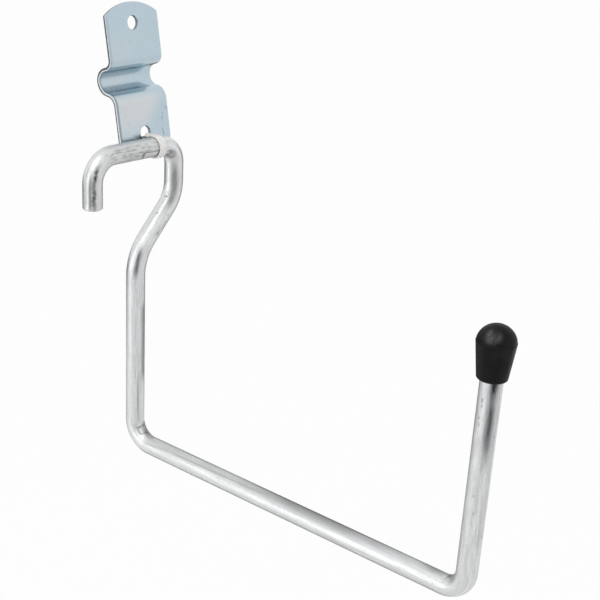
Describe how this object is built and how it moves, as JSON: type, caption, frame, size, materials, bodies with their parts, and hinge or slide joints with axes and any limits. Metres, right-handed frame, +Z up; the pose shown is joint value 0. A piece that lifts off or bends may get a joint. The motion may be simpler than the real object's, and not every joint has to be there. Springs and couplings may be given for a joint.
{
  "type": "garage utility hook",
  "caption": "Bent round-bar storage hook with a long level arm, an upturned tip in a rubber cap, and a beaded saddle strap tied to its bar for fixing it to a wall.",
  "frame": {"origin": "Centre of the strap's upper screw hole, on the strap's front face", "axes": "+X along the bar, -Y out along the arm, +Z up along the leg. The strap leans back by 8.4 degrees, so the hole's axis points out and a little up."},
  "size_m": [0.053, 0.1935, 0.1906],
  "materials": {
    "rod_zinc": "bright zinc plating on drawn bar",
    "cap_rubber": "satin moulded rubber",
    "strap_zinc": "blue passivated zinc plating",
    "tie_plastic": "natural white nylon"
  },
  "bodies": {
    "root": {"hook_rod": "rod_zinc", "end_cap": "cap_rubber", "wall_strap": "strap_zinc", "tie_band": "tie_plastic"}
  },
  "joints": []
}
